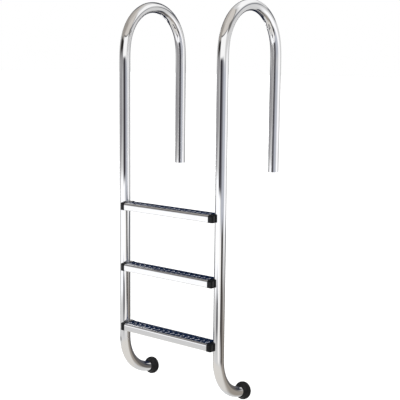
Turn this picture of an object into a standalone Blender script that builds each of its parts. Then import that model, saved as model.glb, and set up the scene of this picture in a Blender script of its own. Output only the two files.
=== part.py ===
"""Pool ladder: two bent stainless rails, three bolted steps and two rubber wall bumpers.

Metres, +Z up.  X runs along the steps, +Y points from the water to the deck, and the
origin lies midway between the two tube ends that stand in the deck.
"""
import math

import bmesh
import bpy
from mathutils import Matrix, Vector

OBJECT_NAME = "pool_ladder"
FIT_GAP = 0.0003          # clearance between touching pieces
CLEAR = 0.00005           # keeps a cutter's edge off the face that it leaves

# Rails
RAIL_SPACING = 0.480      # between the two tube axes
TUBE_RADIUS = 0.0215
TUBE_WALL = 0.0015
ARCH_SPAN = 0.355         # from the deck tail's axis to the leg's axis
ARCH_TOP = 0.650          # arch centreline above the tail ends
FOOT_RADIUS = 0.171
FOOT_ANGLE = math.radians(82)
FOOT_START = -0.694       # where the leg starts to bend towards the wall
FOOT_STRAIGHT = 0.012     # straight end inside the bumper
ARCH_STEPS = 18
FOOT_STEPS = 10
TUBE_SIDE_RESOLUTION = 8  # a bevel resolution of 8 gives 20 sides

# Steps, measured from the leg's axis (Y) and from the tread's top (Z)
STEP_PITCH = 0.250
STEP_COUNT = 3
FIRST_TREAD = -0.128
STEP_FRONT = -0.0395
STEP_BACK = 0.0245
STEP_HEIGHT = 0.029
NOSE_RADIUS = 0.009       # outer radius of the channel's front top edge
NOSE_LEDGE = 0.0015       # flat of the channel between its nose and the tread's recess
SHEET = 0.0015
CHANNEL_HALF = 0.210      # half the length of the pressed channel
LIP = 0.0065              # return lip under the front and back walls
TREAD_THICKNESS = 0.0023
SLOPE_GAP = 0.00045       # gap along Y between the tread and the recess's 45 degree side
CORNER_POINTS = 5
NOSE_POINTS = 6

# Step ends
CAP_END = 0.231           # outer face of the end cap
CAP_RISE = 0.0015         # height of the cap's top above the tread
CAP_TOP_RUN = 0.014       # length over which the cap's top falls to its front
CAP_FRONT_DROP = 0.0095   # height lost over that length
CAP_CORNER = 0.006        # rounding of the upright front corner
CAP_CROWN = 0.005         # rounding of the outer top edge
CAP_EDGE = 0.0015
SPIGOT_LENGTH = 0.0105
PLATE_THICKNESS = 0.003
BOLT_DROP = -0.0150       # bolt axis below the tread's top
BOLT_RADIUS = 0.004
BOLT_HEAD_ACROSS = 0.013
BOLT_HEAD_HEIGHT = 0.0053
BOLT_REACH = 0.016        # bolt tip beyond the inner side of the tube
BOLT_HOLE_RADIUS = 0.0045
WASHER_RADIUS = 0.008
WASHER_THICKNESS = 0.0016
NUT_RADIUS = 0.0055
NUT_FLANGE_RADIUS = 0.0075
NUT_FLANGE = 0.0012
NUT_LENGTH = 0.015

# Wall bumpers, measured along the tube's end direction
BUMPER_RADIUS = 0.0355
BUMPER_THICKNESS = 0.021
BUMPER_ROUNDING = 0.0075
COLLAR_RADIUS = 0.0285     # at the bumper's back, tapering to the next value
COLLAR_TIP_RADIUS = 0.0245
COLLAR_LENGTH = 0.014
STEM_LENGTH = 0.014
STEM_CHAMFER = 0.002

STEEL = ("polished_steel", (0.78, 0.79, 0.80, 1.0), 0.08, 1.0)
STEEL_PLAIN = ("plain_steel", (0.62, 0.63, 0.65, 1.0), 0.28, 1.0)
NAVY = ("navy_tread", (0.012, 0.028, 0.085, 1.0), 0.35, 0.0)
BLACK_PLASTIC = ("black_plastic", (0.012, 0.013, 0.014, 1.0), 0.38, 0.0)
RUBBER = ("black_rubber", (0.014, 0.014, 0.016, 1.0), 0.70, 0.0)

SIDES = (("left", -1), ("right", 1))
# Turns a flat outline drawn in XY so that it stands in YZ and extrudes along X.
STAND_UP = Matrix(((0, 0, 1, 0), (1, 0, 0, 0), (0, 1, 0, 0), (0, 0, 0, 1)))
# Turns the XY plane upright about X.
UPRIGHT = Matrix.Rotation(math.pi / 2, 4, "X")


def clear_scene():
    for old in list(bpy.data.objects):
        bpy.data.objects.remove(old, do_unlink=True)


def new_collection(name):
    collection = bpy.data.collections.new(name)
    bpy.context.scene.collection.children.link(collection)
    return collection


def material(finish):
    name, colour, roughness, metallic = finish
    made = bpy.data.materials.get(name)
    if made is None:
        made = bpy.data.materials.new(name)
        made.use_nodes = True
        shader = made.node_tree.nodes["Principled BSDF"]
        shader.inputs["Base Color"].default_value = colour
        shader.inputs["Roughness"].default_value = roughness
        shader.inputs["Metallic"].default_value = metallic
        made.diffuse_color = colour
    return made


def add_object(name, data, collection, finish=None, place=Matrix.Identity(4)):
    made = bpy.data.objects.new(name, data)
    made.matrix_world = place
    collection.objects.link(made)
    if finish:
        made.data.materials.clear()
        made.data.materials.append(material(finish))
    return made


def as_mesh(curve_object):
    """A welded mesh object in place of a curve object."""
    bpy.context.view_layer.update()
    evaluated = curve_object.evaluated_get(bpy.context.evaluated_depsgraph_get())
    mesh = bpy.data.meshes.new_from_object(evaluated)
    shape = bmesh.new()
    shape.from_mesh(mesh)
    bmesh.ops.remove_doubles(shape, verts=shape.verts, dist=0.00001)
    bmesh.ops.recalc_face_normals(shape, faces=shape.faces)
    shape.to_mesh(mesh)
    shape.free()
    name = curve_object.name
    place = curve_object.matrix_world.copy()
    collection = curve_object.users_collection[0]
    old_curve = curve_object.data
    bpy.data.objects.remove(curve_object)
    bpy.data.curves.remove(old_curve)
    return add_object(name, mesh, collection, None, place)


def outline_curve(name, points, half_length, closed, collection, place):
    """A flat outline extruded both ways along X; `points` are (Y, Z) pairs."""
    curve = bpy.data.curves.new(name, "CURVE")
    curve.dimensions = "2D"
    curve.fill_mode = "BOTH" if closed else "NONE"
    curve.extrude = half_length
    spline = curve.splines.new("POLY")
    spline.points.add(len(points) - 1)
    for spot, (across, up) in zip(spline.points, points):
        spot.co = (across, up, 0, 1)
    spline.use_cyclic_u = closed
    return add_object(name, curve, collection, None, place @ STAND_UP)


def finish_object(made, finish, smooth_angle=math.radians(35)):
    made.data.materials.clear()
    made.data.materials.append(material(finish))
    made.data.shade_smooth()
    made.data.set_sharp_from_angle(angle=smooth_angle)
    return made


def cut(target, cutter, operation="DIFFERENCE"):
    boolean = target.modifiers.new(cutter.name, "BOOLEAN")
    boolean.operation = operation
    boolean.object = cutter
    boolean.solver = "EXACT"


def mark_cutter(made):
    made.hide_render = True
    made.display_type = "WIRE"
    return made


def rod_mesh(name, radius, length, segments):
    """A closed cylinder from x = 0 to x = length."""
    mesh = bpy.data.meshes.new(name)
    shape = bmesh.new()
    bmesh.ops.create_cone(
        shape, cap_ends=True, segments=segments, radius1=radius, radius2=radius, depth=length
    )
    lie_down = Matrix.Translation((length / 2, 0, 0)) @ Matrix.Rotation(math.pi / 2, 4, "Y")
    bmesh.ops.transform(shape, matrix=lie_down, verts=shape.verts)
    shape.to_mesh(mesh)
    shape.free()
    return mesh


def turned_object(name, profile, segments, collection, finish, place):
    """A solid of revolution about local X; `profile` holds (X, radius), last X first."""
    mesh = bpy.data.meshes.new(name)
    shape = bmesh.new()
    corners = [shape.verts.new((radius, 0, along)) for along, radius in profile]
    for start, end in zip(corners, corners[1:]):
        shape.edges.new((start, end))
    if profile[0] == profile[-1]:
        bmesh.ops.remove_doubles(shape, verts=shape.verts, dist=0.00001)
    shape.to_mesh(mesh)
    shape.free()
    lie_down = Matrix.Rotation(math.pi / 2, 4, "Y")
    made = add_object(name, mesh, collection, None, place @ lie_down)
    screw = made.modifiers.new("turn", "SCREW")
    screw.axis = "Z"
    screw.steps = segments
    screw.render_steps = segments
    screw.use_merge_vertices = True
    screw.merge_threshold = 0.00001
    return finish_object(made, finish)


def arc(centre, radius, start, end, count):
    """Points on an arc in (Y, Z), angles in degrees from +Y towards +Z."""
    points = []
    for index in range(count + 1):
        angle = math.radians(start + (end - start) * index / count)
        points.append((centre[0] + radius * math.cos(angle), centre[1] + radius * math.sin(angle)))
    return points


def side_place(side, centre_y, centre_z, distance):
    """Local +X points outwards from the middle of the ladder, at `distance` along it."""
    turn = Matrix.Rotation(0 if side > 0 else math.pi, 4, "Z")
    return Matrix.Translation((side * distance, centre_y, centre_z)) @ turn


def leg_axis():
    return -ARCH_SPAN


def tread_height(number):
    return FIRST_TREAD - STEP_PITCH * (number - 1)


# Rails ---------------------------------------------------------------------------------

def foot_end():
    """End of the foot's arc and the direction in which the tube leaves it, in (Y, Z)."""
    end = Vector((
        leg_axis() + FOOT_RADIUS * (1 - math.cos(FOOT_ANGLE)),
        FOOT_START - FOOT_RADIUS * math.sin(FOOT_ANGLE),
    ))
    direction = Vector((math.sin(FOOT_ANGLE), -math.cos(FOOT_ANGLE)))
    return end, direction


def rail_path():
    """Centreline from the deck tail, over the arch and down to the foot, in (Y, Z)."""
    arch_radius = ARCH_SPAN / 2
    arch_centre = (-arch_radius, ARCH_TOP - arch_radius)
    foot_centre = (leg_axis() + FOOT_RADIUS, FOOT_START)
    end, direction = foot_end()
    path = [(0.0, 0.0)]
    path += arc(arch_centre, arch_radius, 0, 180, ARCH_STEPS)
    path += arc(foot_centre, FOOT_RADIUS, 180, 180 + math.degrees(FOOT_ANGLE), FOOT_STEPS)
    path.append(tuple(end + direction * FOOT_STRAIGHT))
    return path


def make_rail(label, side, model, cutters):
    name = label + "_rail"
    curve = bpy.data.curves.new(name, "CURVE")
    curve.dimensions = "3D"
    curve.bevel_depth = TUBE_RADIUS
    curve.bevel_resolution = TUBE_SIDE_RESOLUTION
    spline = curve.splines.new("POLY")
    path = rail_path()
    spline.points.add(len(path) - 1)
    for spot, (across, up) in zip(spline.points, path):
        spot.co = (0, across, up, 1)
    place = Matrix.Translation((side * RAIL_SPACING / 2, 0, 0))
    rail = as_mesh(add_object(name, curve, model, None, place))
    wall = rail.modifiers.new("wall", "SOLIDIFY")
    wall.thickness = TUBE_WALL
    wall.offset = -1
    wall.use_even_offset = True
    hole_mesh = rod_mesh(name + "_hole", NUT_RADIUS + FIT_GAP, 2 * NUT_FLANGE_RADIUS, 16)
    for number in range(1, STEP_COUNT + 1):
        hole_place = side_place(
            side, leg_axis(), tread_height(number) + BOLT_DROP,
            RAIL_SPACING / 2 - TUBE_RADIUS - NUT_FLANGE_RADIUS,
        )
        hole = add_object(f"{name}_hole_{number}", hole_mesh, cutters, None, hole_place)
        cut(rail, mark_cutter(hole))
    return finish_object(rail, STEEL)


# Steps ---------------------------------------------------------------------------------

def tread_bed():
    """Depth of the recess in the channel's top that the tread lies in."""
    return TREAD_THICKNESS + FIT_GAP


def recess_start():
    """Where the recess's sloping front side leaves the channel's top."""
    return STEP_FRONT + NOSE_RADIUS + NOSE_LEDGE


def channel_profile():
    """Outer line of the pressed channel, from the front lip over the top to the back lip."""
    corner = 2 * SHEET
    bottom = -STEP_HEIGHT
    bed = tread_bed()
    nose = (STEP_FRONT + NOSE_RADIUS, -NOSE_RADIUS)
    points = [(STEP_FRONT + LIP + corner, bottom)]
    points += arc((STEP_FRONT + corner, bottom + corner), corner, 270, 180, CORNER_POINTS)
    points += arc(nose, NOSE_RADIUS, 180, 90, NOSE_POINTS)
    points.append((recess_start(), 0.0))
    points.append((recess_start() + bed, -bed))
    points += arc((STEP_BACK - corner, -bed - corner), corner, 90, 0, CORNER_POINTS)
    points += arc((STEP_BACK - corner, bottom + corner), corner, 0, -90, CORNER_POINTS)
    points.append((STEP_BACK - LIP - corner, bottom))
    return points


def make_channel(number, model):
    place = Matrix.Translation((0, leg_axis(), tread_height(number)))
    name = f"step_{number}_channel"
    sheet = as_mesh(outline_curve(name, channel_profile(), CHANNEL_HALF, False, model, place))
    fold = sheet.modifiers.new("sheet", "SOLIDIFY")
    fold.thickness = SHEET
    fold.offset = -1
    fold.use_even_offset = True
    return finish_object(sheet, STEEL)


def tread_outline():
    """A flat plate, square at the back, with its front cut to the slope of the recess."""
    front = recess_start() + SLOPE_GAP
    back = STEP_BACK - SHEET
    under = -TREAD_THICKNESS
    return [(back, under), (back, 0.0), (front, 0.0), (front + TREAD_THICKNESS, under)]


def make_tread(number, model):
    place = Matrix.Translation((0, leg_axis(), tread_height(number)))
    name = f"step_{number}_tread"
    half = CHANNEL_HALF - FIT_GAP
    pad = as_mesh(outline_curve(name, tread_outline(), half, True, model, place))
    return finish_object(pad, NAVY)


def cap_outline():
    """End cap in (Y, Z): square back and bottom, top falling in a curve to the front."""
    centre = (STEP_FRONT + CAP_TOP_RUN, CAP_RISE - CAP_FRONT_DROP)
    points = [(STEP_FRONT, -STEP_HEIGHT), (STEP_BACK, -STEP_HEIGHT), (STEP_BACK, CAP_RISE)]
    for index in range(2 * CORNER_POINTS + 1):
        angle = math.radians(90 + 90 * index / (2 * CORNER_POINTS))
        points.append((
            centre[0] + CAP_TOP_RUN * math.cos(angle),
            centre[1] + CAP_FRONT_DROP * math.sin(angle),
        ))
    return points


def spigot_outline():
    """The part of the cap that plugs the channel's end."""
    inset = SHEET + 2 * FIT_GAP
    front = STEP_FRONT + inset
    back = STEP_BACK - inset
    top = -tread_bed() - inset
    bottom = -STEP_HEIGHT + inset
    cut = NOSE_RADIUS / 3
    return [
        (front, bottom), (back, bottom), (back, top - SHEET), (back - SHEET, top),
        (front + cut, top), (front, top - cut),
    ]


def corner_waste(side, radius, face, outward):
    """What is cut away to round the edge between the cap's end and another of its faces.

    The outline lies in X and the other face's axis, where that face stands at `face` and
    looks along `outward`.
    """
    beyond = 2 * CAP_EDGE
    centre = (CAP_END - radius + CLEAR, face - outward * (radius - CLEAR))
    waste = [(centre[0], face + outward * beyond), (CAP_END + beyond, face + outward * beyond)]
    waste.append((CAP_END + beyond, centre[1]))
    waste += arc(centre, radius, 0, 90 * outward, CORNER_POINTS)
    return [(side * across, other) for across, other in waste]


def make_end_cap(number, label, side, model, cutters):
    name = f"step_{number}_{label}_end_cap"
    cap_start = CHANNEL_HALF + FIT_GAP
    half = (CAP_END - cap_start) / 2
    height = tread_height(number)
    centre = Matrix.Translation((side * (cap_start + half), leg_axis(), height))
    cap = as_mesh(outline_curve(name, cap_outline(), half, True, model, centre))
    edge = cap.modifiers.new("edge", "BEVEL")
    edge.width = CAP_EDGE
    edge.segments = 1
    edge.limit_method = "ANGLE"
    edge.angle_limit = math.radians(40)

    level = Matrix.Translation((0, leg_axis(), height))
    corner = corner_waste(side, CAP_CORNER, STEP_FRONT, -1)
    crown = corner_waste(side, CAP_CROWN, CAP_RISE, 1)
    reach = 2 * STEP_HEIGHT
    for kind, outline, turn in (("corner", corner, Matrix.Identity(4)), ("crown", crown, UPRIGHT)):
        place = level @ turn @ STAND_UP.inverted()
        waste = outline_curve(f"{name}_{kind}", outline, reach, True, cutters, place)
        cut(cap, mark_cutter(as_mesh(waste)))

    overlap = CAP_EDGE
    spigot_half = (SPIGOT_LENGTH + overlap) / 2
    spigot_middle = cap_start + overlap - spigot_half
    plug_place = Matrix.Translation((side * spigot_middle, leg_axis(), height))
    plug = as_mesh(
        outline_curve(name + "_spigot", spigot_outline(), spigot_half, True, cutters, plug_place)
    )
    cut(cap, mark_cutter(plug), "UNION")

    saddle_mesh = rod_mesh(name + "_saddle", TUBE_RADIUS + FIT_GAP, 3 * STEP_HEIGHT, 48)
    upright = Matrix.Translation(
        (side * RAIL_SPACING / 2, leg_axis(), height - 2 * STEP_HEIGHT)
    ) @ Matrix.Rotation(-math.pi / 2, 4, "Y")
    saddle = add_object(name + "_saddle", saddle_mesh, cutters, None, upright)
    cut(cap, mark_cutter(saddle))

    hole_mesh = rod_mesh(name + "_hole", BOLT_HOLE_RADIUS, 2 * SPIGOT_LENGTH + 2 * half, 16)
    hole_place = side_place(side, leg_axis(), height + BOLT_DROP, cap_start - 2 * SPIGOT_LENGTH)
    cut(cap, mark_cutter(add_object(name + "_hole", hole_mesh, cutters, None, hole_place)))

    seat = NUT_FLANGE + 2 * FIT_GAP
    flange_mesh = rod_mesh(name + "_counterbore", NUT_FLANGE_RADIUS + FIT_GAP, 2 * seat, 16)
    tube_inner_side = RAIL_SPACING / 2 - TUBE_RADIUS
    flange_place = side_place(side, leg_axis(), height + BOLT_DROP, tube_inner_side - seat)
    cut(cap, mark_cutter(add_object(name + "_counterbore", flange_mesh, cutters, None,
                                    flange_place)))
    return finish_object(cap, BLACK_PLASTIC)


def plate_outer_face():
    return CHANNEL_HALF + FIT_GAP - SPIGOT_LENGTH - FIT_GAP


def make_end_plate(number, label, side, model, cutters):
    """The stainless plate inside the channel's end that takes the bolt."""
    name = f"step_{number}_{label}_end_plate"
    height = tread_height(number)
    half = PLATE_THICKNESS / 2
    middle = plate_outer_face() - half
    place = Matrix.Translation((side * middle, leg_axis(), height))
    plate = as_mesh(outline_curve(name, spigot_outline(), half, True, model, place))
    hole_mesh = rod_mesh(name + "_hole", BOLT_HOLE_RADIUS, 3 * PLATE_THICKNESS, 16)
    hole_place = side_place(side, leg_axis(), height + BOLT_DROP, middle - PLATE_THICKNESS)
    cut(plate, mark_cutter(add_object(name + "_hole", hole_mesh, cutters, None, hole_place)))
    return finish_object(plate, STEEL_PLAIN)


# Fasteners -----------------------------------------------------------------------------

def make_bolt(number, label, side, model, cutters):
    """Hexagon bolt from inside the step, outwards into the rail."""
    name = f"step_{number}_{label}_bolt"
    height = tread_height(number) + BOLT_DROP
    seat = plate_outer_face() - PLATE_THICKNESS - WASHER_THICKNESS - 2 * FIT_GAP
    place = side_place(side, leg_axis(), height, seat - BOLT_HEAD_HEIGHT)
    head_radius = BOLT_HEAD_ACROSS / 2 / math.cos(math.pi / 6)
    head_mesh = rod_mesh(name, head_radius, BOLT_HEAD_HEIGHT, 6)
    bolt = add_object(name, head_mesh, model, None, place)
    tip = RAIL_SPACING / 2 - TUBE_RADIUS + BOLT_REACH
    shank_start = BOLT_HEAD_HEIGHT / 2
    shank_length = tip - seat + BOLT_HEAD_HEIGHT - shank_start
    shank_mesh = rod_mesh(name + "_shank", BOLT_RADIUS, shank_length, 12)
    shank_place = place @ Matrix.Translation((shank_start, 0, 0))
    shank = add_object(name + "_shank", shank_mesh, cutters, None, shank_place)
    cut(bolt, mark_cutter(shank), "UNION")
    return finish_object(bolt, STEEL_PLAIN)


def make_washer(number, label, side, model):
    seat = plate_outer_face() - PLATE_THICKNESS - FIT_GAP - WASHER_THICKNESS
    place = side_place(side, leg_axis(), tread_height(number) + BOLT_DROP, seat)
    inner = BOLT_RADIUS + FIT_GAP
    profile = [
        (WASHER_THICKNESS, inner), (WASHER_THICKNESS, WASHER_RADIUS),
        (0, WASHER_RADIUS), (0, inner), (WASHER_THICKNESS, inner),
    ]
    name = f"step_{number}_{label}_washer"
    return turned_object(name, profile, 16, model, STEEL_PLAIN, place)


def make_rivet_nut(number, label, side, model):
    """Flanged threaded insert set in the rail's inner wall."""
    flange_back = RAIL_SPACING / 2 - TUBE_RADIUS - FIT_GAP
    place = side_place(side, leg_axis(), tread_height(number) + BOLT_DROP,
                       flange_back - NUT_FLANGE)
    bore = BOLT_RADIUS + FIT_GAP
    profile = [
        (NUT_LENGTH, bore), (NUT_LENGTH, NUT_RADIUS), (NUT_FLANGE, NUT_RADIUS),
        (NUT_FLANGE, NUT_FLANGE_RADIUS), (0, NUT_FLANGE_RADIUS), (0, bore),
        (NUT_LENGTH, bore),
    ]
    name = f"step_{number}_{label}_rivet_nut"
    return turned_object(name, profile, 16, model, STEEL_PLAIN, place)


# Bumpers -------------------------------------------------------------------------------

def bumper_profile():
    """(along, radius) from the wall side back to the stem inside the tube."""
    stem_radius = TUBE_RADIUS - TUBE_WALL - 2 * FIT_GAP
    socket_radius = TUBE_RADIUS + FIT_GAP
    round_radius = BUMPER_ROUNDING
    flat_radius = BUMPER_RADIUS - round_radius
    front = BUMPER_THICKNESS
    profile = [(front, 0.0), (front, flat_radius)]
    for index in range(1, 4):
        angle = math.radians(30 * index)
        profile.append((
            front - round_radius + round_radius * math.cos(angle),
            flat_radius + round_radius * math.sin(angle),
        ))
    for index in range(0, 4):
        angle = math.radians(90 + 30 * index)
        profile.append((
            round_radius + round_radius * math.cos(angle),
            flat_radius + round_radius * math.sin(angle),
        ))
    profile += [
        (0.0, COLLAR_RADIUS), (-COLLAR_LENGTH, COLLAR_TIP_RADIUS),
        (-COLLAR_LENGTH, socket_radius), (0.0, socket_radius), (0.0, stem_radius),
        (-STEM_LENGTH + STEM_CHAMFER, stem_radius),
        (-STEM_LENGTH, stem_radius - STEM_CHAMFER), (-STEM_LENGTH, 0.0),
    ]
    return profile


def make_bumper(label, side, model):
    end, direction = foot_end()
    seat = end + direction * (FOOT_STRAIGHT + FIT_GAP)
    along = Vector((0, direction.x, direction.y))
    sideways = Vector((1, 0, 0))
    upward = along.cross(sideways)
    turn = Matrix((along, sideways, upward)).transposed().to_4x4()
    place = Matrix.Translation((side * RAIL_SPACING / 2, seat.x, seat.y)) @ turn
    name = label + "_foot_bumper"
    return turned_object(name, bumper_profile(), 24, model, RUBBER, place)


def build():
    clear_scene()
    model = new_collection(OBJECT_NAME)
    cutters = new_collection("cutters")
    for label, side in SIDES:
        make_rail(label, side, model, cutters)
        make_bumper(label, side, model)
    for number in range(1, STEP_COUNT + 1):
        make_channel(number, model)
        make_tread(number, model)
        for label, side in SIDES:
            make_end_cap(number, label, side, model, cutters)
            make_end_plate(number, label, side, model, cutters)
            make_bolt(number, label, side, model, cutters)
            make_washer(number, label, side, model)
            make_rivet_nut(number, label, side, model)


build()
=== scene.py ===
"""Pool ladder: fine meshes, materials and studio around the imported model."""

import math

import bmesh
import bpy
from mathutils import Matrix, Vector


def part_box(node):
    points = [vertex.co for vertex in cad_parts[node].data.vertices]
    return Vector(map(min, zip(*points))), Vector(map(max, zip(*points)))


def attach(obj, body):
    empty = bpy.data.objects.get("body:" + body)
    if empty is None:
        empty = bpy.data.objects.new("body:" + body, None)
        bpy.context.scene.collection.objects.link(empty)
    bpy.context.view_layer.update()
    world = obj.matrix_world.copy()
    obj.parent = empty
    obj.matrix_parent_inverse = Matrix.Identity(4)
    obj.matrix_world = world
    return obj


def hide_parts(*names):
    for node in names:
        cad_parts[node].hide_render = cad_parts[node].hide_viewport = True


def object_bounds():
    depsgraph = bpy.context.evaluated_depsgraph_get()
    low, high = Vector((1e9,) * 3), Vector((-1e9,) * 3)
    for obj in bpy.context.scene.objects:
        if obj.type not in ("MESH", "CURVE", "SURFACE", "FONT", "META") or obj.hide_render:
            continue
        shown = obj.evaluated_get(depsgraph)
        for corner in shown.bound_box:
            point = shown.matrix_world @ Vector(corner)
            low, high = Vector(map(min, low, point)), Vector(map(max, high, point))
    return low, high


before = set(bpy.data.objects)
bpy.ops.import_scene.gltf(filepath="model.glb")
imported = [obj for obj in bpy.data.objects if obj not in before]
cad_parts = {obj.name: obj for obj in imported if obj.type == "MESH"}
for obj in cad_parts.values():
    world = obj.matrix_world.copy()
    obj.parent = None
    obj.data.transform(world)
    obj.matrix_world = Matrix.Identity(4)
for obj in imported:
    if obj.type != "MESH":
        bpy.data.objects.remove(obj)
CAD_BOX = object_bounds()

SIDES = (("left", -1), ("right", 1))
STEPS = (1, 2, 3)
MM = 0.001
EPSILON = 1e-5
GAP = 0.3 * MM            # between pieces that touch

# Rail tube, with its places read from the frame
RAIL_LOW, RAIL_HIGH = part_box("left_rail")
TUBE_RADIUS = (RAIL_HIGH.x - RAIL_LOW.x) / 2
RAIL_X = -(RAIL_HIGH.x + RAIL_LOW.x) / 2
LEG_Y = RAIL_LOW.y + TUBE_RADIUS
ARCH_TOP = RAIL_HIGH.z - TUBE_RADIUS
ARCH_EASE = 0.16          # share of the arch's length over which its bend sets in
TUBE_WALL = 1.5 * MM
FOOT_RADIUS = 171 * MM
FOOT_ANGLE = math.radians(82)
FOOT_START = -694 * MM    # height at which the leg's bend sets in
FOOT_STRAIGHT = 12 * MM   # straight end of the tube beyond the bend
NUT_HOLE_RADIUS = 5.8 * MM    # hole in the rail's inner wall for a rivet nut
NUT_HOLE_REACH = 12 * MM

# Step section, seen along X, from the first tread's and channel's boxes
TREAD_LOW, TREAD_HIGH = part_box("step_1_tread")
CHANNEL_LOW, CHANNEL_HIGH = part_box("step_1_channel")
STEP_FRONT = CHANNEL_LOW.y
STEP_BACK = CHANNEL_HIGH.y
STEP_TOP = TREAD_HIGH.z
STEP_BOTTOM = CHANNEL_LOW.z
NOSE_RADIUS = 9 * MM
NOSE_LEDGE = 1.5 * MM     # flat of the channel between its nose and the tread's recess
SHEET = 1.5 * MM
TREAD_THICKNESS = 2.3 * MM
BED = 2.6 * MM            # depth of the recess that the tread lies in
LIP = 6.5 * MM            # flat width of the channel's inward lips

# Raised ribs on the treads: long S-shaped ones in front, short ones behind
RIB_PITCH = 25 * MM
RIB_HALF_WIDTH = 2.8 * MM
RIB_HEIGHT = 1.1 * MM
RIB_SWAY = 3.2 * MM
FRONT_RIB = (-373 * MM, 23 * MM)      # middle along Y and length
REAR_RIB = (-344 * MM, 10 * MM)
RIB_END_MARGIN = 5 * MM

# End caps
CAP_LOW, CAP_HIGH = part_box("step_1_right_end_cap")
CAP_END = CAP_HIGH.x
CAP_TOP = CAP_HIGH.z
CAP_START = CHANNEL_HIGH.x + GAP
CAP_TOP_RUN = 14 * MM     # depth and drop of the curve from the top to the front
CAP_FRONT_DROP = 9.5 * MM
CAP_CORNER = 6 * MM       # rounding of the outer end, in front and along the top
CAP_CROWN = 5 * MM
CAP_EDGE = 1.5 * MM
CAP_CUT = 3 * MM          # how far what is cut away stands out of the cap
BOLT_HOLE_RADIUS = 4.5 * MM
COUNTERBORE_RADIUS = 7.8 * MM     # room round the rivet nut's flange

# Small helpers -------------------------------------------------------------------------

def add_piece(name, mesh, material, *nodes):
    """A finished piece that stands for CAD nodes and rides on the ladder's one body."""
    piece = bpy.data.objects.new(name, mesh)
    bpy.context.scene.collection.objects.link(piece)
    mesh.materials.clear()
    mesh.materials.append(material)
    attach(piece, "root")
    if nodes:
        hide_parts(*nodes)
    return piece


def smooth(mesh, angle=35):
    mesh.shade_smooth()
    mesh.set_sharp_from_angle(angle=math.radians(angle))
    return mesh


def mesh_from(shape, name):
    bmesh.ops.recalc_face_normals(shape, faces=shape.faces)
    mesh = bpy.data.meshes.new(name)
    shape.to_mesh(mesh)
    shape.free()
    return mesh


def arc(centre, radius, start, end, count):
    """Points on an arc in (Y, Z), with angles in degrees from +Y towards +Z."""
    points = []
    for index in range(count + 1):
        angle = math.radians(start + (end - start) * index / count)
        points.append((centre[0] + radius * math.cos(angle), centre[1] + radius * math.sin(angle)))
    return points


def applied(piece):
    """The piece's mesh with its modifiers applied."""
    bpy.context.view_layer.update()
    evaluated = piece.evaluated_get(bpy.context.evaluated_depsgraph_get())
    return bpy.data.meshes.new_from_object(evaluated)


def temporary(mesh):
    piece = bpy.data.objects.new("temporary", mesh)
    bpy.context.scene.collection.objects.link(piece)
    return piece


def boolean(mesh, cutters, operation="DIFFERENCE"):
    """The mesh after a Boolean with each cutter mesh."""
    base = temporary(mesh)
    tools = [temporary(cutter) for cutter in cutters]
    for tool in tools:
        step = base.modifiers.new("cut", "BOOLEAN")
        step.operation = operation
        step.solver = "EXACT"
        step.object = tool
    result = applied(base)
    for piece in [base, *tools]:
        bpy.data.objects.remove(piece)
    return result


def bevelled(mesh, width, segments):
    """The mesh with its sharp edges rounded."""
    base = temporary(mesh)
    bevel = base.modifiers.new("edge", "BEVEL")
    bevel.width = width
    bevel.segments = segments
    bevel.limit_method = "ANGLE"
    bevel.angle_limit = math.radians(30)
    result = applied(base)
    bpy.data.objects.remove(base)
    return result


def evened(mesh):
    """Smooth shading that keeps the large flat faces flat."""
    base = temporary(smooth(mesh))
    weighting = base.modifiers.new("weighting", "WEIGHTED_NORMAL")
    weighting.weight = 100
    weighting.keep_sharp = True
    result = applied(base)
    bpy.data.objects.remove(base)
    return result


def rod(radius, start, end, segments):
    """A closed cylinder between two points."""
    start = Vector(start)
    end = Vector(end)
    along = end - start
    turn = along.to_track_quat("Z", "Y").to_matrix().to_4x4()
    place = Matrix.Translation((start + end) / 2) @ turn
    shape = bmesh.new()
    bmesh.ops.create_cone(
        shape, cap_ends=True, segments=segments, radius1=radius, radius2=radius,
        depth=along.length,
    )
    bmesh.ops.transform(shape, matrix=place, verts=shape.verts)
    return mesh_from(shape, "rod")


def turned(profile, segments, place):
    """A solid of revolution about local Z from (radius, height) points."""
    shape = bmesh.new()
    corners = [shape.verts.new((radius, 0, height)) for radius, height in profile]
    edges = [shape.edges.new(pair) for pair in zip(corners, corners[1:])]
    bmesh.ops.spin(
        shape, geom=corners + edges, cent=(0, 0, 0), axis=(0, 0, 1),
        angle=math.tau, steps=segments, use_duplicate=False,
    )
    bmesh.ops.remove_doubles(shape, verts=shape.verts, dist=EPSILON)
    bmesh.ops.transform(shape, matrix=place, verts=shape.verts)
    return mesh_from(shape, "turned")


def prism(outline, x_start, x_end):
    """A closed solid from a (Y, Z) outline between two places along X."""
    shape = bmesh.new()
    start = [shape.verts.new((x_start, across, up)) for across, up in outline]
    face = shape.faces.new(start)
    moved = bmesh.ops.extrude_face_region(shape, geom=[face])["geom"]
    corners = [item for item in moved if isinstance(item, bmesh.types.BMVert)]
    bmesh.ops.translate(shape, vec=(x_end - x_start, 0, 0), verts=corners)
    return mesh_from(shape, "prism")


# Materials -----------------------------------------------------------------------------

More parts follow.
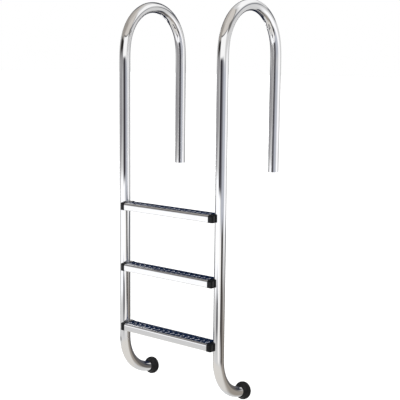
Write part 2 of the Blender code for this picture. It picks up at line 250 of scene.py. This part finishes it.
class Nodes:
    """Short calls for building one material's node tree."""

    def __init__(self, name):
        self.material = bpy.data.materials.new(name)
        self.material.use_nodes = True
        self.tree = self.material.node_tree
        self.shader = self.tree.nodes["Principled BSDF"]
        self.place = self.tree.nodes.new("ShaderNodeTexCoord").outputs["Object"]

    def set(self, **values):
        for socket, value in values.items():
            self.shader.inputs[socket.replace("_", " ")].default_value = value

    def link(self, source, target):
        self.tree.links.new(source, target)

    def feed(self, value, target):
        """Links an output to a socket, or writes a plain value there."""
        if isinstance(value, bpy.types.NodeSocket):
            self.link(value, target)
        else:
            target.default_value = value

    def stretched(self, x, y, z):
        """The object's place with each axis scaled, for streaks along the least scaled one."""
        mapping = self.tree.nodes.new("ShaderNodeMapping")
        mapping.inputs["Scale"].default_value = (x, y, z)
        self.link(self.place, mapping.inputs["Vector"])
        return mapping.outputs["Vector"]

    def noise(self, scale, detail=4.0, roughness=0.6, vector=None):
        texture = self.tree.nodes.new("ShaderNodeTexNoise")
        texture.inputs["Scale"].default_value = scale
        texture.inputs["Detail"].default_value = detail
        texture.inputs["Roughness"].default_value = roughness
        self.link(vector or self.place, texture.inputs["Vector"])
        return texture.outputs["Fac"]

    def cells(self, scale):
        texture = self.tree.nodes.new("ShaderNodeTexVoronoi")
        texture.inputs["Scale"].default_value = scale
        self.link(self.place, texture.inputs["Vector"])
        return texture.outputs["Distance"]

    def ramp(self, value, low, high, start, end):
        """Maps value from low..high to start..end, held at both ends."""
        ranged = self.tree.nodes.new("ShaderNodeMapRange")
        ranged.inputs["From Min"].default_value = low
        ranged.inputs["From Max"].default_value = high
        ranged.inputs["To Min"].default_value = start
        ranged.inputs["To Max"].default_value = end
        self.link(value, ranged.inputs["Value"])
        return ranged.outputs["Result"]

    def mix(self, amount, first, second):
        """A mix of two colours, each an output or a linear (red, green, blue)."""
        mixed = self.tree.nodes.new("ShaderNodeMix")
        mixed.data_type = "RGBA"
        self.link(amount, mixed.inputs["Factor"])
        targets = [item for item in mixed.inputs if item.type == "RGBA"]
        for target, colour in zip(targets, (first, second)):
            self.feed((*colour, 1.0) if isinstance(colour, tuple) else colour, target)
        return [item for item in mixed.outputs if item.type == "RGBA"][0]

    def operate(self, kind, operation, values):
        step = self.tree.nodes.new(kind)
        step.operation = operation
        for value, target in zip(values, step.inputs):
            self.feed(value, target)
        return step.outputs

    def maths(self, operation, *values):
        return self.operate("ShaderNodeMath", operation, values)["Value"]

    def vector_maths(self, operation, *values):
        result = "Value" if operation == "DOT_PRODUCT" else "Vector"
        return self.operate("ShaderNodeVectorMath", operation, values)[result]

    def split(self, vector):
        """The X, Y and Z of a vector."""
        node = self.tree.nodes.new("ShaderNodeSeparateXYZ")
        self.link(vector, node.inputs["Vector"])
        return node.outputs["X"], node.outputs["Y"], node.outputs["Z"]

    def bump(self, height, strength, distance):
        node = self.tree.nodes.new("ShaderNodeBump")
        node.inputs["Strength"].default_value = strength
        node.inputs["Distance"].default_value = distance
        self.link(height, node.inputs["Height"])
        return node.outputs["Normal"]


def polished_steel():
    """Mirror-polished stainless: faint drawn lines, dried water spots and wiping haze."""
    made = Nodes("polished_steel")
    made.set(Metallic=1.0)
    haze = made.noise(9.0, 3.0, 0.55)
    lines = made.noise(420.0, 2.0, 0.5, made.stretched(1.0, 1.0, 0.02))
    spots = made.cells(60.0)
    haze_roughness = made.ramp(haze, 0.35, 0.75, 0.015, 0.04)
    line_roughness = made.ramp(lines, 0.35, 0.70, 0.0, 0.03)
    spot_roughness = made.ramp(spots, 0.05, 0.12, 0.06, 0.0)
    total = made.maths("ADD", made.maths("ADD", haze_roughness, line_roughness), spot_roughness)
    made.link(total, made.shader.inputs["Roughness"])
    tone = made.mix(made.ramp(haze, 0.3, 0.7, 0.0, 1.0), (0.93, 0.93, 0.935), (0.885, 0.88, 0.88))
    made.link(tone, made.shader.inputs["Base Color"])
    made.link(made.bump(lines, 0.05, 0.05 * MM), made.shader.inputs["Normal"])
    return made.material


def fastener_steel():
    """Plain stainless of bolts, washers and plates: brushed grain and dulled patches."""
    made = Nodes("fastener_steel")
    made.set(Metallic=1.0)
    grain = made.noise(900.0, 2.0, 0.5, made.stretched(0.05, 1.0, 1.0))
    patches = made.noise(45.0, 4.0, 0.6)
    made.link(made.ramp(patches, 0.3, 0.7, 0.22, 0.38), made.shader.inputs["Roughness"])
    tone = made.mix(patches, (0.70, 0.70, 0.71), (0.52, 0.51, 0.50))
    made.link(tone, made.shader.inputs["Base Color"])
    made.link(made.bump(grain, 0.2, 0.05 * MM), made.shader.inputs["Normal"])
    return made.material


def navy_tread():
    """Deep navy moulded tread: glossy, with a painted highlight: the crests of the front ribs are
    painted pale.
    """
    made = Nodes("navy_tread")
    made.set(IOR=1.5)
    scuff = made.noise(38.0, 5.0, 0.65)
    ripple = made.noise(260.0, 3.0, 0.5)
    _, along, height = made.split(made.place)
    # painted highlight: the ribs' crests, the front ones most, get a pale colour where glints
    # would show
    raised = made.ramp(height, 0.3 * RIB_HEIGHT, 0.75 * RIB_HEIGHT, 0.0, 1.0)
    rear_start = REAR_RIB[0] - REAR_RIB[1] / 2 - RIB_HALF_WIDTH
    highlit_front = made.ramp(along, rear_start - 4 * MM, rear_start, 1.0, 0.08)
    uneven = made.ramp(made.noise(60.0, 3.0, 0.6), 0.35, 0.6, 0.35, 1.0)
    crest_highlight = made.maths("MULTIPLY", made.maths("MULTIPLY", raised, highlit_front), uneven)
    skin = made.mix(made.ramp(scuff, 0.42, 0.72, 0.0, 1.0),
                    (0.006, 0.013, 0.034), (0.011, 0.022, 0.054))
    # the pale colour mixed onto the crests here is a painted highlight
    made.link(made.mix(crest_highlight, skin, (0.56, 0.58, 0.66)), made.shader.inputs["Base Color"])
    gloss = made.ramp(scuff, 0.4, 0.7, 0.02, 0.05)
    made.link(made.maths("ADD", gloss, made.maths("MULTIPLY", crest_highlight, 0.2)),
              made.shader.inputs["Roughness"])
    made.link(made.bump(ripple, 0.06, 0.06 * MM), made.shader.inputs["Normal"])
    return made.material


def black_plastic():
    """Moulded black plastic with a fine leathery grain and faint water marks."""
    made = Nodes("black_plastic")
    made.set(IOR=1.48, Specular_IOR_Level=0.22)
    grain = made.cells(850.0)
    marks = made.noise(55.0, 4.0, 0.6)
    tone = made.mix(made.ramp(marks, 0.4, 0.75, 0.0, 1.0),
                    (0.003, 0.0035, 0.004), (0.008, 0.0085, 0.009))
    made.link(tone, made.shader.inputs["Base Color"])
    made.link(made.ramp(marks, 0.3, 0.7, 0.10, 0.18), made.shader.inputs["Roughness"])
    made.link(made.bump(grain, 0.08, 0.05 * MM), made.shader.inputs["Normal"])
    return made.material


def black_rubber():
    """Matt rubber with a fine pitted skin and a dusty bloom."""
    made = Nodes("black_rubber")
    made.set(IOR=1.45, Specular_IOR_Level=0.25)
    pits = made.noise(700.0, 3.0, 0.6)
    bloom = made.noise(30.0, 4.0, 0.6)
    tone = made.mix(made.ramp(bloom, 0.4, 0.8, 0.0, 1.0),
                    (0.006, 0.006, 0.007), (0.014, 0.014, 0.015))
    made.link(tone, made.shader.inputs["Base Color"])
    made.link(made.ramp(bloom, 0.3, 0.7, 0.38, 0.52), made.shader.inputs["Roughness"])
    made.link(made.bump(pits, 0.3, 0.15 * MM), made.shader.inputs["Normal"])
    return made.material


# Rails ---------------------------------------------------------------------------------

def foot_end():
    """End of the foot's arc and the direction in which the tube leaves it, in (Y, Z)."""
    end = Vector((
        LEG_Y + FOOT_RADIUS * (1 - math.cos(FOOT_ANGLE)),
        FOOT_START - FOOT_RADIUS * math.sin(FOOT_ANGLE),
    ))
    direction = Vector((math.sin(FOOT_ANGLE), -math.cos(FOOT_ANGLE)))
    return end, direction


def eased(share):
    """How much of the bend is done, from 0 to 1, when it sets in and dies away evenly."""
    if share > 0.5:
        return 1 - eased(1 - share)
    if share < ARCH_EASE:
        return share * share / (2 * ARCH_EASE * (1 - ARCH_EASE))
    return (share - ARCH_EASE / 2) / (1 - ARCH_EASE)


def arch_path(count):
    """The arch from tail to leg, drawn by its heading and scaled to the span."""
    spot = Vector((0.0, 0.0))
    path = [spot.copy()]
    for index in range(count):
        heading = math.pi * eased((index + 0.5) / count)
        spot += Vector((-math.sin(heading), math.cos(heading)))
        path.append(spot.copy())
    scale = LEG_Y / spot.x
    foot = ARCH_TOP - scale * max(point.y for point in path)
    return [(point.x * scale, foot + point.y * scale) for point in path]


def rail_path():
    """Centreline from the deck tail, over the arch and down to the foot, in (Y, Z)."""
    tail_steps = 10
    arch_steps = 120
    leg_steps = 40
    foot_steps = 48
    arch = arch_path(arch_steps)
    spring = arch[0][1]
    path = [(0.0, spring * index / tail_steps) for index in range(tail_steps)]
    path += arch
    path += [(LEG_Y, spring + (FOOT_START - spring) * index / leg_steps)
             for index in range(1, leg_steps)]
    path += arc((LEG_Y + FOOT_RADIUS, FOOT_START), FOOT_RADIUS,
                180, 180 + math.degrees(FOOT_ANGLE), foot_steps)
    end, direction = foot_end()
    path.append(tuple(end + direction * FOOT_STRAIGHT))
    return path


def tube_mesh(path, x_place):
    """A hollow tube along a path in the plane x = x_place, with eased edges at both ends."""
    sides = 72
    ease = 0.4 * MM
    bore = TUBE_RADIUS - TUBE_WALL
    shape = bmesh.new()
    spots = [Vector((x_place, across, up)) for across, up in path]
    sideways = Vector((1, 0, 0))
    last = len(spots) - 1

    def ring(index, radius, shift=0.0):
        along = (spots[min(index + 1, last)] - spots[max(index - 1, 0)]).normalized()
        other = along.cross(sideways)
        corners = []
        for side in range(sides):
            angle = math.tau * side / sides
            offset = sideways * math.cos(angle) + other * math.sin(angle)
            corners.append(shape.verts.new(spots[index] + along * shift + offset * radius))
        return corners

    rings = [ring(0, TUBE_RADIUS - ease), ring(0, TUBE_RADIUS, ease)]
    rings += [ring(index, TUBE_RADIUS) for index in range(1, last)]
    rings += [ring(last, TUBE_RADIUS, -ease), ring(last, TUBE_RADIUS - ease), ring(last, bore)]
    rings += [ring(index, bore) for index in range(last - 1, 0, -1)]
    rings.append(ring(0, bore))
    for first, second in zip(rings, rings[1:] + rings[:1]):
        for side in range(sides):
            after = (side + 1) % sides
            shape.faces.new((first[side], first[after], second[after], second[side]))
    return mesh_from(shape, "tube")


def make_rails(material):
    reach = Vector((NUT_HOLE_REACH, 0, 0))
    for label, side in SIDES:
        holes = []
        for number in STEPS:
            low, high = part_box(f"step_{number}_{label}_rivet_nut")
            centre = (low + high) / 2
            holes.append(rod(NUT_HOLE_RADIUS, centre - reach, centre + reach, 32))
        mesh = boolean(tube_mesh(rail_path(), side * RAIL_X), holes)
        rail = add_piece(label + "_rail_tube", smooth(mesh), material, label + "_rail")


# Steps ---------------------------------------------------------------------------------

def moved_copy(mesh, place, mirrored=False):
    copy = mesh.copy()
    copy.transform(place @ Matrix.Scale(-1, 4, (1, 0, 0)) if mirrored else place)
    if mirrored:
        copy.flip_normals()
    return copy


def step_drop(number):
    """Moves a piece of the first step to a lower one."""
    return Matrix.Translation((0, 0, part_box(f"step_{number}_tread")[1].z - STEP_TOP))


def sheet_outline(outer, thickness):
    """A folded sheet's closed outline from its outer line, by an even inward offset."""
    inner = []
    last = len(outer) - 1
    for index, point in enumerate(outer):
        before = Vector(outer[max(index - 1, 0)])
        after = Vector(outer[min(index + 1, last)])
        here = Vector(point)
        sides = []
        for line in (here - before, after - here):
            if line.length:
                sides.append(Vector((line.y, -line.x)).normalized())
        middle = sum(sides, Vector((0, 0))).normalized()
        inner.append(tuple(here + middle * thickness / middle.dot(sides[0])))
    return list(outer) + inner[::-1]


def channel_outline():
    """The pressed channel's outer line, from the front lip over the top to the back lip."""
    fine = 16
    corner = 2 * SHEET
    nose = (STEP_FRONT + NOSE_RADIUS, STEP_TOP - NOSE_RADIUS)
    recess = nose[0] + NOSE_LEDGE
    bed = STEP_TOP - BED
    outer = [(STEP_FRONT + LIP + corner, STEP_BOTTOM)]
    outer += arc((STEP_FRONT + corner, STEP_BOTTOM + corner), corner, 270, 180, fine)
    outer += arc(nose, NOSE_RADIUS, 180, 90, fine)
    outer += [(recess, STEP_TOP), (recess + BED, bed)]
    outer += arc((STEP_BACK - corner, bed - corner), corner, 90, 0, fine)
    outer += arc((STEP_BACK - corner, STEP_BOTTOM + corner), corner, 0, -90, fine)
    outer.append((STEP_BACK - LIP - corner, STEP_BOTTOM))
    return outer


def make_channels(material):
    edge = 0.25 * MM
    outline = sheet_outline(channel_outline(), SHEET)
    mesh = bevelled(prism(outline, CHANNEL_LOW.x, CHANNEL_HIGH.x), edge, 2)
    for number in STEPS:
        copy = evened(moved_copy(mesh, step_drop(number)))
        channel = add_piece(f"step_{number}_pressed_channel", copy, material,
                            f"step_{number}_channel")


def rib_height(across, along):
    """Height of the raised ribs at X = across, Y = along, full over their middle third."""
    height = 0.0
    for offset, (middle, length) in ((0.5, FRONT_RIB), (0.0, REAR_RIB)):
        turn = across / RIB_PITCH + offset
        from_line = (turn - math.floor(turn) - 0.5) * RIB_PITCH
        share = (along - middle) / length
        from_line -= RIB_SWAY * math.sin(math.tau * min(max(share, -0.5), 0.5))
        past_end = max(abs(share) - 0.5, 0.0) * length
        near = 1.5 * (1 - math.hypot(from_line, past_end) / RIB_HALF_WIDTH)
        if near > 0:
            near = min(near, 1.0)
            height = max(height, RIB_HEIGHT * near * near * (3 - 2 * near))
    return height


def tread_outline():
    """Closed outline in (Y, Z), the flat top at Z = 0, with a mark on the ribbed points."""
    grain = 1.1 * MM
    edge = 0.6 * MM
    margin = 1.2 * MM
    front = TREAD_LOW.y
    back = TREAD_HIGH.y
    flat = back - front - 2 * edge
    count = round(flat / grain)
    outline = [(back, -TREAD_THICKNESS, False), (back, -edge, False)]
    for index in range(count + 1):
        along = back - edge - flat * index / count
        outline.append((along, 0.0, front + margin < along < back - margin))
    outline.append((front + edge / 2, -edge / 2, False))
    outline.append((front + TREAD_THICKNESS, -TREAD_THICKNESS, False))
    return outline


def tread_mesh():
    """The tread with its raised ribs, as one closed surface."""
    columns = 336         # about 1.25 mm each
    outline = tread_outline()
    shape = bmesh.new()
    rows = []
    for column in range(columns + 1):
        across = TREAD_LOW.x + (TREAD_HIGH.x - TREAD_LOW.x) * column / columns
        inside = min(across - TREAD_LOW.x, TREAD_HIGH.x - across) > RIB_END_MARGIN
        row = []
        for along, up, ribbed in outline:
            lift = rib_height(across, along) if ribbed and inside else 0.0
            row.append(shape.verts.new((across, along, up + lift)))
        rows.append(row)
    count = len(outline)
    for first, second in zip(rows, rows[1:]):
        for index in range(count):
            after = (index + 1) % count
            shape.faces.new((first[index], first[after], second[after], second[index]))
    shape.faces.new(rows[0])
    shape.faces.new(rows[-1])
    return smooth(mesh_from(shape, "tread"), 50)


def make_treads(material):
    mesh = tread_mesh()
    for number in STEPS:
        tread = add_piece(f"step_{number}_ribbed_tread", mesh, material, f"step_{number}_tread")
        tread.location.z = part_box(f"step_{number}_tread")[1].z


def corner_waste(radius, face, outward):
    """What is cut away to round the edge between the cap's end and another of its faces.

    That face stands at `face` and looks along `outward`, 1 or -1, on its own axis.
    """
    hub = (CAP_END - radius, face - outward * radius)
    past_face = face + outward * CAP_CUT
    past_end = CAP_END + CAP_CUT
    waste = [(hub[0], past_face), (past_end, past_face), (past_end, hub[1])]
    return waste + arc(hub, radius + EPSILON, 0, 90 * outward, 12)


def cap_block():
    """The first step's right cap outside the channel, before its holes."""
    fine = 24
    below = STEP_BOTTOM - CAP_CUT
    above = CAP_TOP + CAP_CUT
    centre = (STEP_FRONT + CAP_TOP_RUN, CAP_TOP - CAP_FRONT_DROP)
    outline = [(STEP_FRONT, STEP_BOTTOM), (STEP_BACK, STEP_BOTTOM), (STEP_BACK, CAP_TOP)]
    for index in range(fine + 1):
        angle = math.radians(90 + 90 * index / fine)
        outline.append((centre[0] + CAP_TOP_RUN * math.cos(angle),
                        centre[1] + CAP_FRONT_DROP * math.sin(angle)))
    block = prism(outline, CAP_START, CAP_END)
    # the wastes are prisms too, turned so that they run along Z and along Y
    corner = prism(corner_waste(CAP_CORNER, STEP_FRONT, -1), below, above)
    corner.transform(Matrix(((0, 1, 0, 0), (0, 0, 1, 0), (1, 0, 0, 0), (0, 0, 0, 1))))
    crown = prism(corner_waste(CAP_CROWN, CAP_TOP, 1),
                  STEP_FRONT - CAP_CUT, STEP_BACK + CAP_CUT)
    crown.transform(Matrix(((0, 1, 0, 0), (1, 0, 0, 0), (0, 0, 1, 0), (0, 0, 0, 1))))
    crown.flip_normals()
    return bevelled(boolean(block, [corner, crown]), CAP_EDGE, 3)


def spigot_mesh():
    """The plug in the channel's end, running a little way into the cap's block."""
    inset = SHEET + 2 * GAP
    front = STEP_FRONT + inset
    back = STEP_BACK - inset
    top = STEP_TOP - BED - inset
    bottom = STEP_BOTTOM + inset
    cut = NOSE_RADIUS / 3
    return prism([
        (front, bottom), (back, bottom), (back, top - SHEET), (back - SHEET, top),
        (front + cut, top), (front, top - cut),
    ], CAP_LOW.x, CAP_START + 2 * CAP_EDGE)


def cap_mesh():
    """The first step's right end cap."""
    block = boolean(cap_block(), [spigot_mesh()], "UNION")
    rail_low = (RAIL_X, LEG_Y, STEP_BOTTOM - CAP_CUT)
    rail_high = (RAIL_X, LEG_Y, CAP_TOP + CAP_CUT)
    saddle = rod(TUBE_RADIUS + GAP, rail_low, rail_high, 96)
    low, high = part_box("step_1_right_rivet_nut")
    nut = (low + high) / 2
    reach = Vector((40 * MM, 0, 0))
    bolt_hole = rod(BOLT_HOLE_RADIUS, nut - reach, nut + reach, 32)
    seat = Vector((low.x - GAP, nut.y, nut.z))
    counterbore = rod(COUNTERBORE_RADIUS, seat, seat + reach, 32)
    return boolean(block, [saddle, bolt_hole, counterbore])


def make_end_caps(material):
    mesh = cap_mesh()
    for number in STEPS:
        for label, side in SIDES:
            copy = evened(moved_copy(mesh, step_drop(number), side < 0))
            cap = add_piece(f"step_{number}_{label}_moulded_cap", copy, material,
                            f"step_{number}_{label}_end_cap")


# Bumpers -------------------------------------------------------------------------------

def bumper_profile():
    """(radius, distance along the tube) from the wall face back to the stem in the tube."""
    radius = 35.5 * MM
    thickness = 21 * MM
    rounding = 7.5 * MM
    collar = 28.5 * MM
    collar_tip = 24.5 * MM
    collar_length = 14 * MM
    socket = TUBE_RADIUS + GAP
    stem = TUBE_RADIUS - TUBE_WALL - 2 * GAP
    stem_length = 14 * MM
    stem_chamfer = 2 * MM
    dish = 0.5 * MM
    seam = 0.25 * MM
    hub = radius - rounding
    middle = thickness / 2
    profile = [(0.0, thickness - dish), (radius / 2, thickness - dish / 2)]
    profile += arc((hub, thickness - rounding), rounding, 90, 0, 12)
    profile += [(radius, middle + 2 * seam), (radius + seam, middle), (radius, middle - 2 * seam)]
    profile += arc((hub, rounding), rounding, 0, -72, 10)
    # a small fillet from the disc into the collar
    profile += [(collar + 1.5 * MM, -0.2 * MM), (collar + 0.4 * MM, -0.9 * MM),
                (collar - 0.2 * MM, -2 * MM)]
    # the collar's eased tip, the ring-shaped slot for the tube's end and the stem in its bore
    profile += [(collar_tip + 0.4 * MM, -collar_length + 0.6 * MM),
                (collar_tip - 0.6 * MM, -collar_length), (socket, -collar_length)]
    profile += [(socket, 0.0), (stem, 0.0), (stem, stem_chamfer - stem_length),
                (stem - stem_chamfer, -stem_length), (0.0, -stem_length)]
    return profile


def make_bumpers(material):
    end, direction = foot_end()
    seat = end + direction * (FOOT_STRAIGHT + GAP)
    turn = Vector((0, *direction)).to_track_quat("Z", "X").to_matrix().to_4x4()
    for label, side in SIDES:
        place = Matrix.Translation((side * RAIL_X, *seat)) @ turn
        mesh = smooth(turned(bumper_profile(), 72, place), 40)
        bumper = add_piece(label + "_rubber_bumper", mesh, material, label + "_foot_bumper")


# Fasteners -----------------------------------------------------------------------------

def finish_fasteners(material):
    """Bolts, washers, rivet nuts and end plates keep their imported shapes."""
    for name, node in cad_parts.items():
        if name.endswith(("_end_plate", "_bolt", "_washer", "_rivet_nut")):
            node.data.materials.clear()
            node.data.materials.append(material)


# Studio --------------------------------------------------------------------------------

CAMERA_AZIMUTH = 37.343   # degrees from -Y towards +X
CAMERA_PITCH = 9.090      # degrees downwards
CAMERA_ROLL = 0.650
CAMERA_PLACE = (2.2194, -3.0772, 0.4653)
CAMERA_LENS = 82.15785    # millimetres
ROOM_RADIUS = 1.5
ROOM_CENTRE = (0, -0.25, -0.1)


def make_camera():
    data = bpy.data.cameras.new("camera")
    data.lens = CAMERA_LENS
    camera = bpy.data.objects.new("camera", data)
    bpy.context.scene.collection.objects.link(camera)
    yaw = math.radians(CAMERA_AZIMUTH)
    tilt = math.radians(90 - CAMERA_PITCH)
    roll = math.radians(CAMERA_ROLL)
    turn = (Matrix.Rotation(yaw, 4, "Z") @ Matrix.Rotation(tilt, 4, "X")
            @ Matrix.Rotation(roll, 4, "Z"))
    camera.matrix_world = Matrix.Translation(CAMERA_PLACE) @ turn
    bpy.context.scene.camera = camera


def shade(*levels):
    """A linear colour from display levels; 255 is white and a lamp may lie above it."""
    linear = []
    for level in levels:
        value = level / 255
        linear.append(value / 12.92 if value <= 0.04045 else ((value + 0.055) / 1.055) ** 2.4)
    return tuple(linear)


class Room(Nodes):
    """The studio round the ladder, seen only in its reflections.

    It is a shell with soft-edged cards painted on it by direction from its middle:
    azimuth from the photographer's side, growing to the right, and elevation, in degrees.
    """

    def __init__(self, base):
        super().__init__("studio_room")
        self.tree.nodes.remove(self.shader)
        self.direction = self.vector_maths("NORMALIZE", self.place)
        self.elevation = self.degrees(self.maths("ARCSINE", self.split(self.direction)[2]))
        self.colour = base

    def degrees(self, angle):
        return self.maths("MULTIPLY", angle, 180 / math.pi)

    def towards(self, azimuth):
        """How far the direction points towards an azimuth."""
        angle = math.radians(CAMERA_AZIMUTH + azimuth)
        return self.vector_maths("DOT_PRODUCT", self.direction,
                                 (math.sin(angle), -math.cos(angle), 0))

    def inside(self, offset, half, soft):
        """1 near the middle, falling to 0 over soft degrees, half of them past the edge."""
        node = self.tree.nodes.new("ShaderNodeMapRange")
        node.interpolation_type = "SMOOTHSTEP"
        node.inputs["From Min"].default_value = half + soft / 2
        node.inputs["From Max"].default_value = half - soft / 2
        self.link(self.maths("ABSOLUTE", offset), node.inputs["Value"])
        return node.outputs["Result"]

    def card(self, azimuths, elevations, colour, soft, tilt=0.0):
        """Paints a card over what is there.

        Soft is the width of its side edges and of its upper and lower edges, and tilt is its
        rise in degrees for each degree to the right.
        """
        middle = sum(azimuths) / 2
        across = self.degrees(
            self.maths("ARCTAN2", self.towards(middle + 90), self.towards(middle))
        )
        up = self.maths("SUBTRACT", self.elevation, sum(elevations) / 2)
        up = self.maths("SUBTRACT", up, self.maths("MULTIPLY", across, tilt))
        mask = self.maths(
            "MULTIPLY",
            self.inside(across, (azimuths[1] - azimuths[0]) / 2, soft[0]),
            self.inside(up, (elevations[1] - elevations[0]) / 2, soft[1]),
        )
        self.colour = self.mix(mask, self.colour, colour)

    def build(self):
        glow = self.tree.nodes.new("ShaderNodeEmission")
        self.link(self.colour, glow.inputs["Color"])
        surface = self.tree.nodes["Material Output"].inputs["Surface"]
        self.link(glow.outputs["Emission"], surface)
        shape = bmesh.new()
        bmesh.ops.create_icosphere(shape, subdivisions=5, radius=ROOM_RADIUS)
        room = bpy.data.objects.new("studio_room", mesh_from(shape, "studio_room"))
        room.location = ROOM_CENTRE
        bpy.context.scene.collection.objects.link(room)
        room.data.materials.append(self.material)
        room.visible_camera = False
        room.visible_diffuse = False
        room.visible_shadow = False


def make_room():
    room = Room(shade(214, 214, 214))
    # ceiling with its darker left part, a lamp on the right, a beam and the ceiling's edge
    room.card((-170, 56), (49, 90), shade(211, 206, 200), (10, 3))
    room.card((-160, -38), (56, 84), shade(188, 183, 177), (50, 10))
    room.card((-150, -58), (38, 66), shade(160, 155, 149), (24, 10))
    room.card((70, 152), (52, 78), shade(256, 256, 256), (16, 8))
    room.card((34, 66), (40, 53), shade(112, 110, 108), (16, 5), -0.1)
    room.card((54, 59), (49, 74), shade(120, 118, 116), (3, 6))
    room.card((-58, 30), (47.5, 50.5), shade(96, 94, 97), (20, 2))
    room.card((112, 158), (35, 43), shade(104, 106, 112), (8, 3), 0.1)
    room.card((66, 110), (39, 47), shade(128, 130, 136), (10, 4), -0.1)
    # left wall, dark above it, and a tall window in the middle
    room.card((-118, -46), (20, 38), shade(112, 110, 108), (24, 10))
    room.card((-96, -46), (20, 42), shade(46, 43, 42), (6, 5))
    room.card((-150, -52), (-2, 22), shade(158, 157, 159), (24, 10), 0.15)
    room.card((-44, 34), (21, 48), shade(258, 258, 258), (16, 2.5))
    # pale blue wall and bright doorway on the right
    room.card((6, 60), (-12, 20), shade(188, 191, 200), (8, 6))
    room.card((62, 98), (-16, 24), shade(264, 264, 266), (16, 10))
    # bright floor in front
    room.card((-100, -6), (-28.5, -3), shade(266, 267, 270), (18, 4))
    room.card((-8, 18), (-40, -12), shade(256, 254, 252), (10, 8), -0.2)
    # photographer's dark backdrop, its soft right edge, and darker parts of the floor
    room.card((-38, 4), (-5.5, 23), shade(56, 53, 60), (18, 3))
    room.card((4, 18), (-5, 23), shade(126, 128, 136), (8, 4))
    room.card((-50, -30), (-36, -23), shade(100, 100, 104), (12, 8))
    room.card((44, 112), (-74, -28), shade(156, 149, 141), (34, 22))
    room.card((22, 54), (-34, -11), shade(66, 62, 60), (10, 6))
    room.card((54, 74), (-42, -23), shade(122, 116, 112), (10, 6))
    room.card((-36, -18), (-34, -26), shade(84, 84, 88), (8, 4))
    # navy wall behind the ladder, its foot and the grey above it
    room.card((142, 222), (-50, 22), shade(26, 34, 54), (10, 10))
    room.card((110, 150), (-48, -12), shade(44, 50, 64), (14, 8))
    room.card((152, 218), (22, 62), shade(92, 94, 100), (10, 10))
    room.card((128, 177), (-60, -17), shade(90, 90, 96), (6, 6))
    # brown floor beside the wall and two dark marks near the feet
    room.card((103, 146), (-62, -28), shade(106, 102, 99), (14, 10))
    room.card((38, 62), (-40, -31), shade(90, 84, 80), (10, 5))
    room.card((236, 262), (-41, -37), shade(44, 44, 46), (12, 2))
    # slanted strip lights at the end of the navy wall, one for each tread's left end
    strip = 2.0
    for low, power in ((-6.0, 5.2), (-0.3, 3.8), (5.1, 2.8)):
        room.card((190, 206), (low, low + strip), (power, power, power), (2, 0.5), -0.6)
    # pale ground
    room.card((-140, 60), (-90, -44), shade(222, 219, 214), (40, 10))
    room.build()


def make_light():
    world = bpy.data.worlds.new("studio")
    bpy.context.scene.world = world
    world.use_nodes = True
    world.node_tree.nodes["Background"].inputs["Color"].default_value = (1, 1, 1, 1)
    sun = bpy.data.lights.new("soft_key", "SUN")
    sun.energy = 1.5
    sun.angle = math.radians(60)
    key = bpy.data.objects.new("soft_key", sun)
    bpy.context.scene.collection.objects.link(key)
    key.rotation_euler = (math.radians(28), math.radians(-18), 0)


def make_floor():
    drop = 0.30           # the ladder hangs clear of the floor
    reach = 60.0
    shape = bmesh.new()
    bmesh.ops.create_grid(shape, x_segments=4, y_segments=4, size=reach)
    bmesh.ops.translate(shape, vec=(0, 0, CAD_BOX[0].z - drop), verts=shape.verts)
    made = Nodes("pale_floor")
    made.set(Roughness=0.8)
    tone = made.mix(made.noise(1.5), (0.93, 0.93, 0.93), (0.90, 0.90, 0.90))
    made.link(tone, made.shader.inputs["Base Color"])
    floor = bpy.data.objects.new("floor", mesh_from(shape, "floor"))
    bpy.context.scene.collection.objects.link(floor)
    floor.data.materials.append(made.material)
    floor.visible_glossy = False


make_camera()
steel = polished_steel()
make_rails(steel)
make_channels(steel)
make_treads(navy_tread())
make_end_caps(black_plastic())
make_bumpers(black_rubber())
finish_fasteners(fastener_steel())
make_room()
make_light()
make_floor()
bpy.context.scene.view_settings.view_transform = "Standard"
